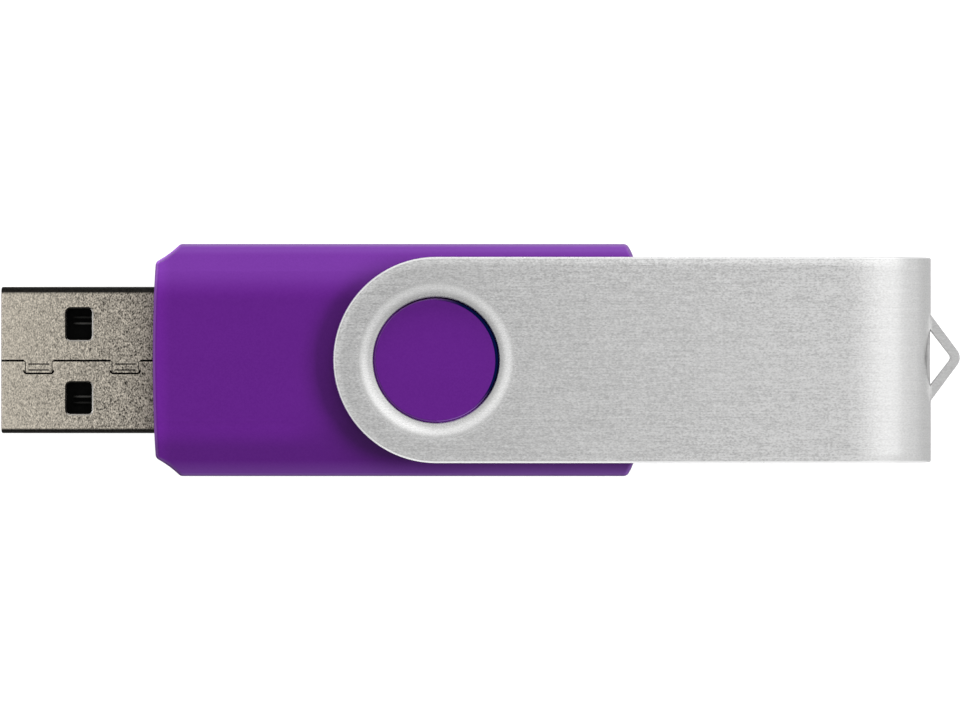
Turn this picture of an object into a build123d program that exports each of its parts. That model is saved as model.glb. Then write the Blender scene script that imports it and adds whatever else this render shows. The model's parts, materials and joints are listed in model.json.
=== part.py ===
from build123d import *
import math
import os

# Swivel-cover USB flash drive, in millimetres.
# Origin: centre of the plug's open end, on the plug's mid-plane.
# +X runs from the plug's mouth to the far end of the opened cover, +Y across the width, +Z up.
# The cover is swung fully open, lying over the back of the case.

# ------------------------------------------------------------------ dimensions shared by pieces
PIVOT_X = 35.64  # swivel axis, along Z

# USB-A plug shell
PLUG_W = 12.0
PLUG_H = 4.5
PLUG_T = 0.30  # sheet
PLUG_L = 17.84  # mouth to the end inside the case
PLUG_R = 0.60  # outer corner radius
SHELL_INNER_Y = PLUG_W / 2 - PLUG_T
WINDOW_Y = 3.03  # half the spacing of the latch windows, and of the pockets under them

# contacts
CONTACT_W = 1.0
CONTACT_BOTTOM, CONTACT_TOP = -0.05, 0.15
CONTACT_BACK = 17.3
# name, y, front end x
CONTACTS = (
    ("power_contact", -3.5, 1.4),
    ("data_minus_contact", -1.0, 2.4),
    ("data_plus_contact", 1.0, 2.4),
    ("ground_contact", 3.5, 1.4),
)

# circuit board, with the contacts lying on top
BOARD_TOP = CONTACT_BOTTOM
BOARD_T = 1.0
BOARD_BOTTOM = BOARD_TOP - BOARD_T

OVERCUT = 1.0  # how far a cut runs past the surface it opens
FROM_FRONT = (Align.MIN, Align.CENTER)  # rectangle placed by the middle of its low-x side

os.makedirs("parts", exist_ok=True)


def write(part, name):
    """Labels a finished piece and writes it as its own STEP file."""
    part.label = name
    export_step(part, f"parts/{name}.step")


def close(value, target):
    return abs(value - target) < 1e-3


def both_sides(x, y):
    """A point and its mirror image across the mid-line."""
    return [(x, y), (x, -y)]


# ------------------------------------------------------------------ case dimensions
CASE_W = 19.0
CASE_T = 7.3  # over the two flat faces
CASE_FRONT = 12.69
CASE_BACK = 52.04
WALL = 1.5  # end walls
HALF_W = CASE_W / 2
TOP = CASE_T / 2

# plan outline
FRONT_BULGE = 0.22  # the front edge bows forward by this much
FRONT_CORNER_Y = 8.02
HOLLOW_X, HOLLOW_Y = 13.75, 8.68  # a point on the hollow front corner
SIDE_FRONT, SIDE_BACK = 14.69, 51.22  # straight part of the sides
REAR_CORNER_X, REAR_CORNER_Y = 51.96, 7.253

# cross-section: the top rolls over by an angle, then runs straight to the side
FLAT_HALF = 4.95  # half width of the flat band on top
CROWN_R, CROWN_A = 8.886, 15.0

# cavity
CAVITY_FRONT, CAVITY_BACK = CASE_FRONT + WALL, CASE_BACK - WALL
CAVITY_L = CAVITY_BACK - CAVITY_FRONT
CAVITY_MID_X = (CAVITY_FRONT + CAVITY_BACK) / 2
CAVITY_HALF = 7.90
CAVITY_TOP = 2.40
CAVITY_BEVEL_Y, CAVITY_BEVEL_Z = 5.6, 1.9  # where the bevelled upper corner starts and ends

# pivot boss
BOSS_R = 5.03
BOSS_TOP = 4.62
BOSS_SUNK = 1.0  # depth of its root below the flat face

# corner blocks, one of each per side: x, y, length, width
CORNER_BLOCKS = ((15.84, 6.98, 3.4, 1.86), (49.39, 6.90, 2.4, 2.02))
BLOCK_ROOTS = ((15.84, 6.5, 3.4, 0.88), (49.39, 6.6, 2.4, 1.4))

# lip on the lower half, groove in the upper half
LIP_W, LIP_H = 0.55, 0.60
LIP_ROOT = 0.3
LIP_OUTER_L = CAVITY_L + 2 * LIP_W
LIP_OUTER_W = 2 * (CAVITY_HALF + LIP_W)
LIP_GAP_L, LIP_GAP_W = 3.0, 13.4  # left out at the plug
LIP_PLAY = 0.14  # added across the groove
LIP_PLAY_Z = 0.08

# location pins
PIN_R = 0.55
PIN_TOP = 1.2
PIN_ROOT = 0.5
PIN_SPOTS = both_sides(15.44, 7.0) + both_sides(49.24, 6.95)

# board supports and stop posts behind the plug
SUPPORT_SPOTS = both_sides(25.3, 7.3) + both_sides(42.3, 7.3)
SUPPORT_L = 3.0
LEDGE_W, POST_W = 1.4, 0.9
POST_H = 2.3
BOARD_PLAY = 0.02
STOP_SPOTS = both_sides(18.32, 4.2)
STOP_L, STOP_W = 0.85, 2.0
LOWER_STOP_Z, UPPER_STOP_Z = -1.2, 0.3
ROOT_Z = CAVITY_TOP + 0.1  # supports start just inside the wall

# ------------------------------------------------------------------ case: form shared by the halves
with BuildPart() as half_form:
    # plan outline
    with BuildSketch(Plane.XY) as form_plan:
        with BuildLine():
            rear = ThreePointArc(
                (REAR_CORNER_X, -REAR_CORNER_Y), (CASE_BACK, 0), (REAR_CORNER_X, REAR_CORNER_Y)
            )
            TangentArc((REAR_CORNER_X, REAR_CORNER_Y), (SIDE_BACK, HALF_W), tangent=rear % 1)
            Line((SIDE_BACK, HALF_W), (SIDE_FRONT, HALF_W))
            ThreePointArc((SIDE_FRONT, HALF_W), (HOLLOW_X, HOLLOW_Y), (CASE_FRONT, FRONT_CORNER_Y))
            ThreePointArc(
                (CASE_FRONT, FRONT_CORNER_Y),
                (CASE_FRONT - FRONT_BULGE, 0),
                (CASE_FRONT, -FRONT_CORNER_Y),
            )
            ThreePointArc(
                (CASE_FRONT, -FRONT_CORNER_Y), (HOLLOW_X, -HOLLOW_Y), (SIDE_FRONT, -HALF_W)
            )
            Line((SIDE_FRONT, -HALF_W), (SIDE_BACK, -HALF_W))
            TangentArc(
                (REAR_CORNER_X, -REAR_CORNER_Y), (SIDE_BACK, -HALF_W), tangent=(rear % 0) * -1
            )
        make_face()
        # the kinks between side, hollow corner and ends are broken
        fillet(form_plan.vertices().filter_by(lambda v: abs(v.Y) > 7.5), radius=0.5)
    extrude(amount=TOP)
    # crowned cross-section
    with BuildSketch(Plane.YZ):
        with BuildLine():
            crown = JernArc(
                start=(FLAT_HALF, TOP), tangent=(1, 0), radius=CROWN_R, arc_size=-CROWN_A
            )
            fall = (HALF_W - (crown @ 1).X) * math.tan(math.radians(CROWN_A))
            slope = Line(crown @ 1, (HALF_W, (crown @ 1).Y - fall))
            Line(slope @ 1, (HALF_W, 0))
            Line((0, TOP), (FLAT_HALF, TOP))
            mirror(about=Plane.YZ)
            Line((-HALF_W, 0), (HALF_W, 0))
        make_face()
    extrude(amount=CASE_BACK + OVERCUT, mode=Mode.INTERSECT)
    # soft edge all round the top: edges along the sides and at the two ends
    top_rim = half_form.edges().filter_by(
        lambda e: e.center().Z > 1.9
        and abs(e.tangent_at(0.5).Z) < 0.9
        and (close(abs(e.center().Y), HALF_W) or e.center().X < 15.2 or e.center().X > 51.2)
    )
    fillet(top_rim, radius=0.4)
    # pivot boss
    with BuildSketch(Plane.XY.offset(TOP - BOSS_SUNK)):
        with Locations((PIVOT_X, 0)):
            Circle(BOSS_R)
    extrude(amount=BOSS_TOP - TOP + BOSS_SUNK)
    boss_rim = half_form.edges().filter_by(GeomType.CIRCLE).filter_by(
        lambda e: close(e.center().Z, BOSS_TOP)
    )
    fillet(boss_rim, radius=0.14)
    # parting edge, just broken so the two halves meet in a fine groove
    chamfer(half_form.edges().filter_by(lambda e: close(e.center().Z, 0)), length=0.06)
    # cavity
    with BuildSketch(Plane.YZ.offset(CAVITY_FRONT)):
        with BuildLine():
            Polyline(
                (0, CAVITY_TOP),
                (CAVITY_BEVEL_Y, CAVITY_TOP),
                (CAVITY_HALF, CAVITY_BEVEL_Z),
                (CAVITY_HALF, 0),
            )
            mirror(about=Plane.YZ)
            Line((-CAVITY_HALF, 0), (CAVITY_HALF, 0))
        make_face()
    extrude(amount=CAVITY_L, mode=Mode.SUBTRACT)
    # mouth for the plug, with a little play, cut through into the cavity
    with BuildSketch(Plane.YZ.offset(CASE_FRONT - OVERCUT)):
        RectangleRounded(PLUG_W + 0.10, PLUG_H + 0.06, PLUG_R + 0.05)
    extrude(amount=WALL + OVERCUT + 0.4, mode=Mode.SUBTRACT)
    # corner blocks that carry the location pins, then the bars joining them to the shoulders
    for base_z, height, blocks in ((0, 1.95, CORNER_BLOCKS), (1.85, 0.5, BLOCK_ROOTS)):
        with BuildSketch(Plane.XY.offset(base_z)):
            for x, y, length, width in blocks:
                with Locations(*both_sides(x, y)):
                    Rectangle(length, width)
        extrude(amount=height)

# ------------------------------------------------------------------ lower half
with BuildPart() as lower_case:
    add(half_form.part.mirror(Plane.XY))
    # lip, then its root in the wall
    for base_z, height in ((0, LIP_H), (-LIP_ROOT, LIP_ROOT)):
        with BuildSketch(Plane.XY.offset(base_z)):
            with Locations((CAVITY_MID_X, 0)):
                Rectangle(LIP_OUTER_L, LIP_OUTER_W)
                Rectangle(CAVITY_L, 2 * CAVITY_HALF, mode=Mode.SUBTRACT)
            with Locations((CAVITY_FRONT, 0)):
                Rectangle(LIP_GAP_L, LIP_GAP_W, mode=Mode.SUBTRACT)
        extrude(amount=height)
    # location pins
    with BuildSketch(Plane.XY.offset(-PIN_ROOT)):
        with Locations(*PIN_SPOTS):
            Circle(PIN_R)
    extrude(amount=PIN_TOP + PIN_ROOT)
    pin_tips = lower_case.edges().filter_by(GeomType.CIRCLE).filter_by(
        lambda e: close(e.center().Z, PIN_TOP)
    )
    chamfer(pin_tips, length=0.15)
    # ledges under the board
    with BuildSketch(Plane.XY.offset(-ROOT_Z)):
        with Locations(*SUPPORT_SPOTS):
            Rectangle(SUPPORT_L, LEDGE_W)
    extrude(amount=ROOT_Z + BOARD_BOTTOM - BOARD_PLAY)
    # stop posts behind the plug
    with BuildSketch(Plane.XY.offset(-ROOT_Z)):
        with Locations(*STOP_SPOTS):
            Rectangle(STOP_L, STOP_W)
    extrude(amount=ROOT_Z + LOWER_STOP_Z)
write(lower_case.part, "lower_case")

# ------------------------------------------------------------------ upper half
with BuildPart() as upper_case:
    add(half_form.part)
    # groove for the lip
    with BuildSketch(Plane.XY):
        with Locations((CAVITY_MID_X, 0)):
            Rectangle(LIP_OUTER_L + LIP_PLAY, LIP_OUTER_W + LIP_PLAY)
            Rectangle(CAVITY_L - LIP_PLAY, 2 * CAVITY_HALF - LIP_PLAY, mode=Mode.SUBTRACT)
        with Locations((CAVITY_FRONT, 0)):
            Rectangle(LIP_GAP_L - LIP_PLAY, LIP_GAP_W - LIP_PLAY, mode=Mode.SUBTRACT)
    extrude(amount=LIP_H + LIP_PLAY_Z, mode=Mode.SUBTRACT)
    # pin sockets
    with BuildSketch(Plane.XY):
        with Locations(*PIN_SPOTS):
            Circle(PIN_R + 0.05)
    extrude(amount=PIN_TOP + 0.1, mode=Mode.SUBTRACT)
    # hold-down posts over the board
    with BuildSketch(Plane.XY.offset(BOARD_TOP + BOARD_PLAY)):
        with Locations(*SUPPORT_SPOTS):
            Rectangle(SUPPORT_L, POST_W)
    extrude(amount=POST_H)
    # stop posts behind the plug
    with BuildSketch(Plane.XY.offset(UPPER_STOP_Z)):
        with Locations(*STOP_SPOTS):
            Rectangle(STOP_L, STOP_W)
    extrude(amount=ROOT_Z - UPPER_STOP_Z)
write(upper_case.part, "upper_case")

# ------------------------------------------------------------------ swivel cover: one folded sheet
COVER_W = 16.8
COVER_T = 10.0  # over both arms
COVER_REACH = 50.0  # length of the plan blank behind the pivot, past the bend
SHEET = 0.8
ARM_OUTER_Z = COVER_T / 2
ARM_INNER_Z = ARM_OUTER_Z - SHEET
ARM_FRONT = PIVOT_X - COVER_W / 2
BEND_X = 69.31  # the arms stop being flat here
BEND_R, BEND_A = 14.0, 14.0  # the bend opens with a wide arc of this radius and angle
# the tight arc round the end meets both wide arcs tangentially
END_R = BEND_R - (BEND_R - ARM_OUTER_Z) / math.cos(math.radians(BEND_A))
END_A = 2 * (90 - BEND_A)
HOLE_R = 5.12
RIM_R = 6.60  # where the rolled-in rim starts
RIM_ROLL_A = 40.0  # how far it has turned down at the hole
RIM_ROLL_R = (RIM_R - HOLE_R) / math.sin(math.radians(RIM_ROLL_A))
RIM_SEAT_R = 5.95
RIM_SEAT_Z = 3.70
LOOP_W = 2.0  # along Z
SLOT_FRONT, SLOT_DEPTH = 74.4, 3.0
SLOT_HALF = 3.15
LOOP_Y = 0.19  # the loop sits this far off the middle
# x, y from the loop's own middle
LOOP_OUTLINE = (
    (75.54, 3.64), (76.12, 3.64), (76.28, 3.45), (78.84, 0),
    (76.28, -3.45), (76.12, -3.64), (75.54, -3.64), (75.46, -3.28),
    (78.0, 0), (75.46, 3.28), (75.54, 3.64),
)

with BuildPart() as swivel_cover:
    # folded profile, seen from the side: round the outside, back round the inside
    with BuildSketch(Plane.XZ):
        with BuildLine():
            outer_top = Line((ARM_FRONT, ARM_OUTER_Z), (BEND_X, ARM_OUTER_Z))
            outer_wide = JernArc(outer_top @ 1, (1, 0), BEND_R, -BEND_A)
            outer_end = JernArc(outer_wide @ 1, outer_wide % 1, END_R, -END_A)
            outer_return = JernArc(outer_end @ 1, outer_end % 1, BEND_R, -BEND_A)
            outer_bottom = Line(outer_return @ 1, (ARM_FRONT, -ARM_OUTER_Z))
            Line(outer_bottom @ 1, (ARM_FRONT, -ARM_INNER_Z))
            inner_bottom = Line((ARM_FRONT, -ARM_INNER_Z), (BEND_X, -ARM_INNER_Z))
            inner_wide = JernArc(inner_bottom @ 1, (1, 0), BEND_R - SHEET, BEND_A)
            inner_end = JernArc(inner_wide @ 1, inner_wide % 1, END_R - SHEET, END_A)
            inner_return = JernArc(inner_end @ 1, inner_end % 1, BEND_R - SHEET, BEND_A)
            inner_top = Line(inner_return @ 1, (ARM_FRONT, ARM_INNER_Z))
            Line(inner_top @ 1, (ARM_FRONT, ARM_OUTER_Z))
        make_face()
    extrude(amount=COVER_W / 2, both=True)
    # round ends about the pivot
    with BuildSketch(Plane.XY.offset(-COVER_T)):
        with Locations((PIVOT_X, 0)):
            Circle(COVER_W / 2)
            Rectangle(COVER_REACH, COVER_W, align=FROM_FRONT)
    extrude(amount=2 * COVER_T, mode=Mode.INTERSECT)
    # rounded outer edges
    cover_rim = swivel_cover.edges().filter_by(
        lambda e: (close(abs(e.center().Z), ARM_OUTER_Z) or e.center().X > BEND_X + 0.5)
        and (close(abs(e.center().Y), COVER_W / 2) or e.center().X < PIVOT_X)
    )
    fillet(cover_rim, radius=0.15)
    # opening for the rim
    with BuildSketch(Plane.XY.offset(-COVER_T)):
        with Locations((PIVOT_X, 0)):
            Circle(RIM_R)
    extrude(amount=2 * COVER_T, mode=Mode.SUBTRACT)
    # rolled-in rim of the pivot hole, both arms
    with BuildSketch(Plane.XZ):
        with BuildLine():
            rim_x = PIVOT_X + RIM_R
            roll_in = CenterArc((rim_x, ARM_OUTER_Z - RIM_ROLL_R), RIM_ROLL_R, 90, RIM_ROLL_A)
            Line(roll_in @ 1, (PIVOT_X + HOLE_R, RIM_SEAT_Z))
            Line((PIVOT_X + HOLE_R, RIM_SEAT_Z), (PIVOT_X + RIM_SEAT_R, RIM_SEAT_Z))
            EllipticalCenterArc(
                (rim_x, RIM_SEAT_Z),
                RIM_R - RIM_SEAT_R,
                ARM_INNER_Z - RIM_SEAT_Z,
                start_angle=90,
                arc_size=90,
            )
            Line((rim_x, ARM_INNER_Z), (rim_x, ARM_OUTER_Z))
        make_face()
        mirror(about=Plane.XZ)
    revolve(axis=Axis((PIVOT_X, 0, 0), (0, 0, 1)))
    # slot through the bend that the lanyard loop is lanced from
    with BuildSketch(Plane.YZ.offset(SLOT_FRONT)):
        with Locations((LOOP_Y, 0)):
            Rectangle(2 * SLOT_HALF, LOOP_W + 0.04)
    extrude(amount=SLOT_DEPTH, mode=Mode.SUBTRACT)
    # lanyard loop: the strip pushed out into a V, its tip rounded outside and inside
    with BuildSketch(Plane.XY.offset(-LOOP_W / 2)) as loop_plan:
        with BuildLine():
            Polyline(*[(x, y + LOOP_Y) for x, y in LOOP_OUTLINE])
        make_face()
        fillet(loop_plan.vertices().filter_by(lambda v: v.X > 78.4), radius=1.0)
        fillet(loop_plan.vertices().filter_by(lambda v: 77.9 < v.X < 78.1), radius=0.4)
    extrude(amount=LOOP_W)
write(swivel_cover.part, "swivel_cover")

# ------------------------------------------------------------------ plug shell
WINDOW_X = 6.39
WINDOW_L, WINDOW_W = 2.10, 2.60  # along X, along Y
WINDOW_SHIFT = -0.10  # the pair sits this far off the mid-line
SOLDER_TAB_L, SOLDER_TAB_H = 2.6, 2.2
SOLDER_TAB_X, SOLDER_TAB_Z = PLUG_L + 0.9, -0.5  # middle of the tab
SEAM_Y, SEAM_GAP = -0.05, 0.17
SEAM_OPEN_X = 0.35  # open through the sheet from here back, a shallow groove ahead of it
SEAM_TABS = ((2.00, 4.18), (9.08, 11.27))  # front and back x of the tabs the seam dips round
TAB_MARGIN = 0.12  # the wide gap stops this far short of a tab
TAB_SIDE_GAP, TAB_END_GAP = 0.07, 0.15
GROOVE_DEPTH = 0.12
STAKE_Y = (-0.33, -0.82)
STAKE_W, STAKE_DEPTH = 0.11, 0.08

with BuildPart() as plug_shell:
    with BuildSketch(Plane.YZ):
        RectangleRounded(PLUG_W, PLUG_H, PLUG_R)
    extrude(amount=PLUG_L)
    fillet(plug_shell.edges().filter_by(lambda e: close(e.center().X, 0)), radius=0.14)
    with BuildSketch(Plane.YZ):
        RectangleRounded(PLUG_W - 2 * PLUG_T, PLUG_H - 2 * PLUG_T, PLUG_R - PLUG_T)
    extrude(amount=PLUG_L, mode=Mode.SUBTRACT)
    # latch windows through both broad faces, edges broken on the outside
    with BuildSketch(Plane.XY.offset(-PLUG_H)):
        with Locations(
            (WINDOW_X, WINDOW_SHIFT + WINDOW_Y),
            (WINDOW_X, WINDOW_SHIFT - WINDOW_Y),
        ):
            RectangleRounded(WINDOW_L, WINDOW_W, 0.35)
    extrude(amount=2 * PLUG_H, mode=Mode.SUBTRACT)
    window_rim = plug_shell.edges().filter_by(
        lambda e: close(abs(e.center().Z), PLUG_H / 2) and abs(e.center().X - WINDOW_X) < 1.2
    )
    chamfer(window_rim, length=0.11)
    # solder tabs at the rear, +Y then -Y; the sketch normal is -Y
    for offset in (-SHELL_INNER_Y, PLUG_W / 2):
        with BuildSketch(Plane.XZ.offset(offset)):
            with Locations((SOLDER_TAB_X, SOLDER_TAB_Z)):
                Rectangle(SOLDER_TAB_L, SOLDER_TAB_H)
        extrude(amount=-PLUG_T)
    # butt seam on the upper face: open along X and at the tab ends, tight down the tab sides
    with BuildSketch(Plane.XY.offset(PLUG_H / 2 - PLUG_T - 0.1)):
        (front_tab_start, front_tab_end), (rear_tab_start, rear_tab_end) = SEAM_TABS
        for start, end in (
            (SEAM_OPEN_X, front_tab_start - TAB_MARGIN),
            (front_tab_end + TAB_MARGIN, rear_tab_start - TAB_MARGIN),
            (rear_tab_end + TAB_MARGIN, PLUG_L + OVERCUT),
        ):
            with Locations((start, SEAM_Y)):
                Rectangle(end - start, SEAM_GAP, align=FROM_FRONT)
        for start, end in SEAM_TABS:
            for approach_x, side_x in ((start - 0.3, start), (end + 0.3, end)):
                with BuildLine():
                    FilletPolyline(
                        (approach_x, SEAM_Y), (side_x, SEAM_Y), (side_x, -1.0), radius=0.2
                    )
                trace(line_width=TAB_SIDE_GAP)
            with BuildLine():
                FilletPolyline(
                    (start - 0.16, -0.84),
                    (start - 0.03, -1.10),
                    (end + 0.02, -1.10),
                    (end + 0.14, -0.84),
                    radius=0.22,
                )
            trace(line_width=TAB_END_GAP)
    extrude(amount=OVERCUT, mode=Mode.SUBTRACT)
    # at the rolled mouth the two edges are pressed together and leave a groove
    with BuildSketch(Plane.XY.offset(PLUG_H / 2 - GROOVE_DEPTH)):
        with Locations((-OVERCUT, SEAM_Y)):
            Rectangle(SEAM_OPEN_X + 0.05 + OVERCUT, SEAM_GAP, align=FROM_FRONT)
    extrude(amount=OVERCUT, mode=Mode.SUBTRACT)
    # two staking lines pressed into each tab
    with BuildSketch(Plane.XY.offset(PLUG_H / 2 - STAKE_DEPTH)):
        for start, end in SEAM_TABS:
            with Locations(*[((start + end) / 2, y) for y in STAKE_Y]):
                SlotOverall(end - start - 0.45, STAKE_W)
    extrude(amount=OVERCUT, mode=Mode.SUBTRACT)
write(plug_shell.part, "plug_shell")

# ------------------------------------------------------------------ insulator: tongue and block
INSULATOR_W = 11.3
INSULATOR_TOP = 1.93
INSULATOR_BEVEL = 0.22
TONGUE_FRONT, TONGUE_BACK, BLOCK_BACK = 0.25, 11.7, 14.6
CHANNEL_PLAY = 0.02  # round each contact
POCKET_X, POCKET_L, POCKET_W = 7.1, 4.6, 3.2
POCKET_FLOOR = 0.5
RIB_X, RIB_L, RIB_W = 7.62, 3.6, 0.16
RIB_ROOT, RIB_TOP = 0.4, 1.15
RELIEF_X, RELIEF_L, RELIEF_W, RELIEF_H = 13.9, 1.0, 4.0, 0.9

with BuildPart() as plug_insulator:
    # tongue, with open space below it
    with BuildSketch(Plane.YZ.offset(TONGUE_FRONT)) as tongue_section:
        with Locations((0, INSULATOR_TOP / 2)):
            Rectangle(INSULATOR_W, INSULATOR_TOP)
        chamfer(tongue_section.vertices().group_by(Axis.Y)[-1], length=INSULATOR_BEVEL)
    extrude(amount=TONGUE_BACK - TONGUE_FRONT)
    nose = plug_insulator.edges().filter_by(Axis.Y).filter_by(
        lambda e: e.center().X < TONGUE_FRONT + 0.01
    )
    chamfer(nose, length=0.2)
    # block filling the shell behind it
    with BuildSketch(Plane.YZ.offset(TONGUE_BACK)) as block_section:
        Rectangle(INSULATOR_W, 2 * INSULATOR_TOP)
        chamfer(block_section.vertices(), length=INSULATOR_BEVEL)
    extrude(amount=BLOCK_BACK - TONGUE_BACK)
    # contact channels on the open side of the tongue, running on through the block
    with BuildSketch(Plane.XY.offset(CONTACT_BOTTOM - CHANNEL_PLAY)):
        for _, y, front in CONTACTS:
            start = front - CHANNEL_PLAY
            with Locations((start, y)):
                Rectangle(
                    BLOCK_BACK + OVERCUT - start, CONTACT_W + 2 * CHANNEL_PLAY, align=FROM_FRONT
                )
    extrude(amount=CONTACT_TOP - CONTACT_BOTTOM + 2 * CHANNEL_PLAY, mode=Mode.SUBTRACT)
    # pockets under the latch windows, each with two thin ribs along its floor
    with BuildSketch(Plane.XY.offset(POCKET_FLOOR)):
        with Locations(*both_sides(POCKET_X, WINDOW_Y)):
            Rectangle(POCKET_L, POCKET_W)
    extrude(amount=2.0, mode=Mode.SUBTRACT)
    with BuildSketch(Plane.XY.offset(RIB_ROOT)):
        with Locations(*both_sides(RIB_X, 3.0), *both_sides(RIB_X, 3.5)):
            Rectangle(RIB_L, RIB_W)
    extrude(amount=RIB_TOP - RIB_ROOT)
    rib_tops = plug_insulator.edges().filter_by(Axis.X).filter_by(
        lambda e: close(e.center().Z, RIB_TOP)
    )
    chamfer(rib_tops, length=0.04)
    # relief under the back of the block
    with BuildSketch(Plane.XY.offset(-INSULATOR_TOP)):
        with Locations((RELIEF_X, 0)):
            Rectangle(RELIEF_L, RELIEF_W)
    extrude(amount=RELIEF_H, mode=Mode.SUBTRACT)
write(plug_insulator.part, "plug_insulator")

# ------------------------------------------------------------------ four contacts
for name, y, front in CONTACTS:
    with BuildPart() as contact:
        with BuildSketch(Plane.XY.offset(CONTACT_BOTTOM)) as contact_plan:
            with Locations((front, y)):
                Rectangle(CONTACT_BACK - front, CONTACT_W, align=FROM_FRONT)
            fillet(contact_plan.vertices().filter_by(lambda v: v.X < front + 0.01), radius=0.15)
        extrude(amount=CONTACT_TOP - CONTACT_BOTTOM)
    write(contact.part, name)

# ------------------------------------------------------------------ circuit board
BOARD_W = 14.6
BOARD_TONGUE_W = 11.0  # narrow part reaching into the shell
BOARD_FRONT, BOARD_SHOULDER, BOARD_BACK = 14.7, 18.04, 47.8
NOTCH_X, NOTCH_L, NOTCH_W = 19.15, 2.3, 0.5
VIA_SPOTS = (
    (31.6, -6.2), (38.9, 6.3), (39.8, -6.0), (45.0, 4.0), (21.4, 4.6), (45.0, -4.6),
)
VIA_R = 0.2

with BuildPart() as circuit_board:
    with BuildSketch(Plane.XY.offset(BOARD_BOTTOM)):
        # the narrow part overlaps the wide one by 1 mm
        with Locations((BOARD_FRONT, 0)):
            Rectangle(BOARD_SHOULDER - BOARD_FRONT + 1.0, BOARD_TONGUE_W, align=FROM_FRONT)
        with Locations((BOARD_SHOULDER, 0)):
            Rectangle(BOARD_BACK - BOARD_SHOULDER, BOARD_W, align=FROM_FRONT)
        # notches for the shell's solder tabs
        with Locations(*both_sides(NOTCH_X, SHELL_INNER_Y + PLUG_T / 2)):
            Rectangle(NOTCH_L, NOTCH_W, mode=Mode.SUBTRACT)
    extrude(amount=BOARD_T)
    # plated through holes
    with BuildSketch(Plane.XY.offset(BOARD_BOTTOM)):
        with Locations(*VIA_SPOTS):
            Circle(VIA_R)
    extrude(amount=BOARD_T, mode=Mode.SUBTRACT)
write(circuit_board.part, "circuit_board")

# ------------------------------------------------------------------ chips
CHIP_GAP = 0.1  # between body and board
CHIP_BEVEL = 0.12
DOT_DEPTH = 0.08
LEAD_T, LEAD_W = 0.13, 0.22
LEAD_PITCH = 0.5
LEAD_FOOT = 0.07  # mid-thickness of the foot, from the board

# memory chip, under the board
MEMORY_X = 36.3
MEMORY_L, MEMORY_W, MEMORY_H = 18.4, 12.0, 1.0
MEMORY_LEADS = 24  # at each end
with BuildPart() as memory_chip:
    with BuildSketch(Plane.XY.offset(BOARD_BOTTOM - CHIP_GAP)):
        with Locations((MEMORY_X, 0)):
            Rectangle(MEMORY_L, MEMORY_W)
    extrude(amount=-MEMORY_H)
    chamfer(memory_chip.edges().group_by(Axis.Z)[0], length=CHIP_BEVEL)
    with BuildSketch(Plane.XY.offset(BOARD_BOTTOM - CHIP_GAP - MEMORY_H)):
        with Locations((MEMORY_X - MEMORY_L / 2 + 1.0, -MEMORY_W / 2 + 1.0)):
            Circle(0.4)
    extrude(amount=DOT_DEPTH, mode=Mode.SUBTRACT)
write(memory_chip.part, "memory_chip")

# a pair of leads, one at each end, then repeated across the width
with BuildPart() as memory_lead_pair:
    body_z = BOARD_BOTTOM - CHIP_GAP - MEMORY_H / 2
    foot_z = BOARD_BOTTOM - LEAD_FOOT
    with BuildSketch(Plane.XZ):
        for end in (1, -1):
            with BuildLine():
                Polyline(
                    (MEMORY_X + end * MEMORY_L / 2, body_z),
                    (MEMORY_X + end * (MEMORY_L / 2 + 0.25), body_z),
                    (MEMORY_X + end * (MEMORY_L / 2 + 0.35), foot_z),
                    (MEMORY_X + end * (MEMORY_L / 2 + 0.8), foot_z),
                )
            trace(line_width=LEAD_T)
    extrude(amount=LEAD_W / 2, both=True)
with BuildPart() as memory_leads:
    first = (MEMORY_LEADS - 1) / 2
    with Locations(*[(0, (k - first) * LEAD_PITCH, 0) for k in range(MEMORY_LEADS)]):
        add(memory_lead_pair.part)
write(memory_leads.part, "memory_chip_leads")

# controller, on top of the board
CONTROLLER_X = 26.3
CONTROLLER_W, CONTROLLER_H = 7.0, 1.4
CONTROLLER_LEADS = 12  # on each side
with BuildPart() as controller_chip:
    with BuildSketch(Plane.XY.offset(BOARD_TOP + CHIP_GAP)):
        with Locations((CONTROLLER_X, 0)):
            Rectangle(CONTROLLER_W, CONTROLLER_W)
    extrude(amount=CONTROLLER_H)
    chamfer(controller_chip.edges().group_by(Axis.Z)[-1], length=CHIP_BEVEL)
    with BuildSketch(Plane.XY.offset(BOARD_TOP + CHIP_GAP + CONTROLLER_H)):
        with Locations((CONTROLLER_X - CONTROLLER_W / 2 + 0.9, CONTROLLER_W / 2 - 0.9)):
            Circle(0.35)
    extrude(amount=-DOT_DEPTH, mode=Mode.SUBTRACT)
write(controller_chip.part, "controller_chip")

# one lead, x from the chip's centre, then repeated round the four sides
with BuildPart() as controller_lead:
    body_z = BOARD_TOP + CHIP_GAP + CONTROLLER_H / 2
    foot_z = BOARD_TOP + LEAD_FOOT
    body_x = CONTROLLER_W / 2
    with BuildSketch(Plane.XZ):
        with BuildLine():
            Polyline(
                (body_x, body_z), (body_x + 0.3, body_z), (body_x + 0.42, foot_z),
                (body_x + 1.0, foot_z),
            )
        trace(line_width=LEAD_T)
    extrude(amount=LEAD_W / 2, both=True)
with BuildPart() as controller_leads:
    first = (CONTROLLER_LEADS - 1) / 2
    for side in range(4):
        turn = Location((CONTROLLER_X, 0, 0), (0, 0, 90 * side))
        for k in range(CONTROLLER_LEADS):
            with Locations(turn * Location((0, (k - first) * LEAD_PITCH, 0))):
                add(controller_lead.part)
write(controller_leads.part, "controller_leads")

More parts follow.
